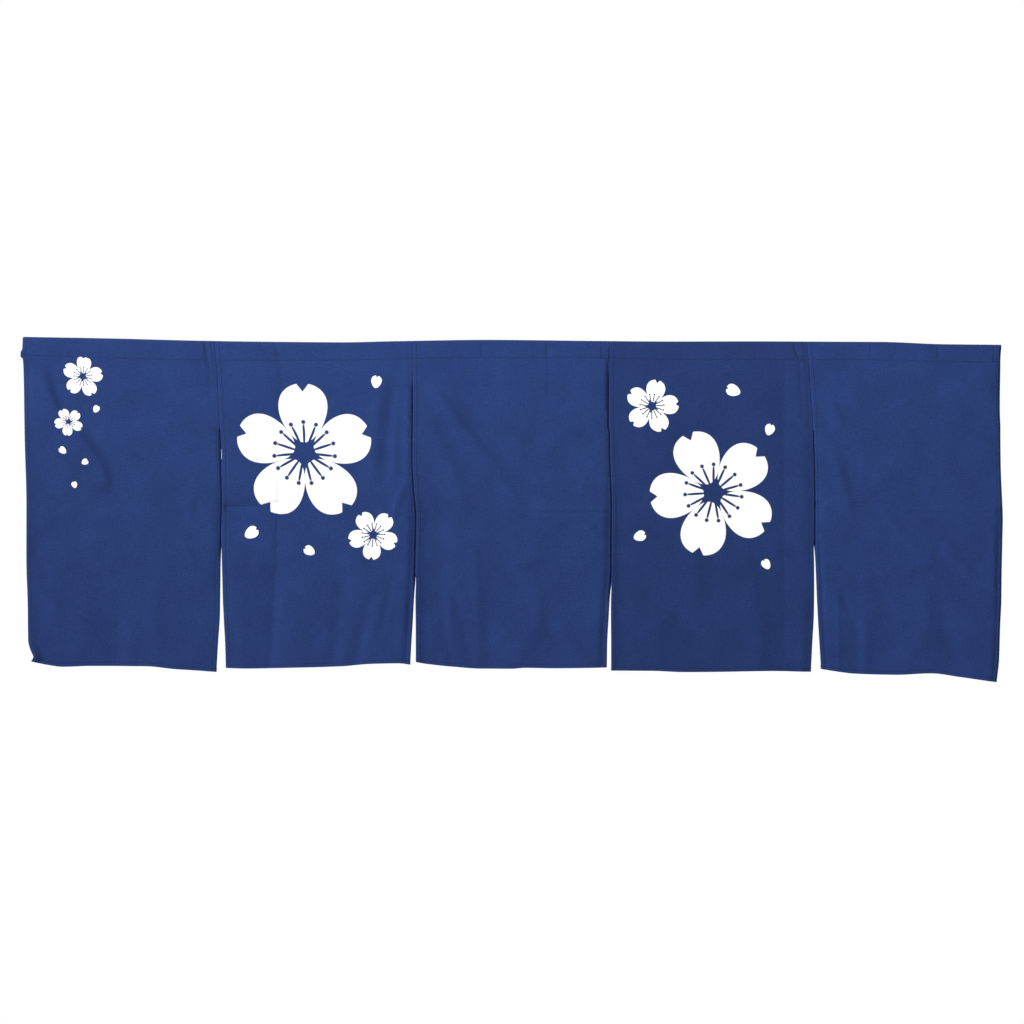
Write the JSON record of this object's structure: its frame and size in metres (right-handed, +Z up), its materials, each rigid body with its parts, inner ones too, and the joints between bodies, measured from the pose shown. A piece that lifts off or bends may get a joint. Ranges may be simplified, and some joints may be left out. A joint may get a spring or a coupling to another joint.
{
  "type": "noren curtain",
  "caption": "Split shop curtain of indigo cotton panels with white blossoms, sewn side to side at the top, with a rod sleeve along the top edge, and hanging free below.",
  "frame": {"origin": "middle of the top edge, at the level of the fold that forms the rod sleeve, on the face of the cloth", "axes": "+X along the top edge, to the right as seen from the front, +Y towards the back, where the sleeve is turned, and +Z up"},
  "size_m": [1.7088, 0.0212, 0.5925],
  "materials": {
    "indigo_cotton": "matt plain-weave cotton, dyed indigo, with white blossoms left undyed"
  },
  "bodies": {
    "root": {"panel_1": "indigo_cotton", "panel_2": "indigo_cotton", "panel_3": "indigo_cotton", "panel_4": "indigo_cotton", "panel_5": "indigo_cotton"}
  },
  "joints": []
}
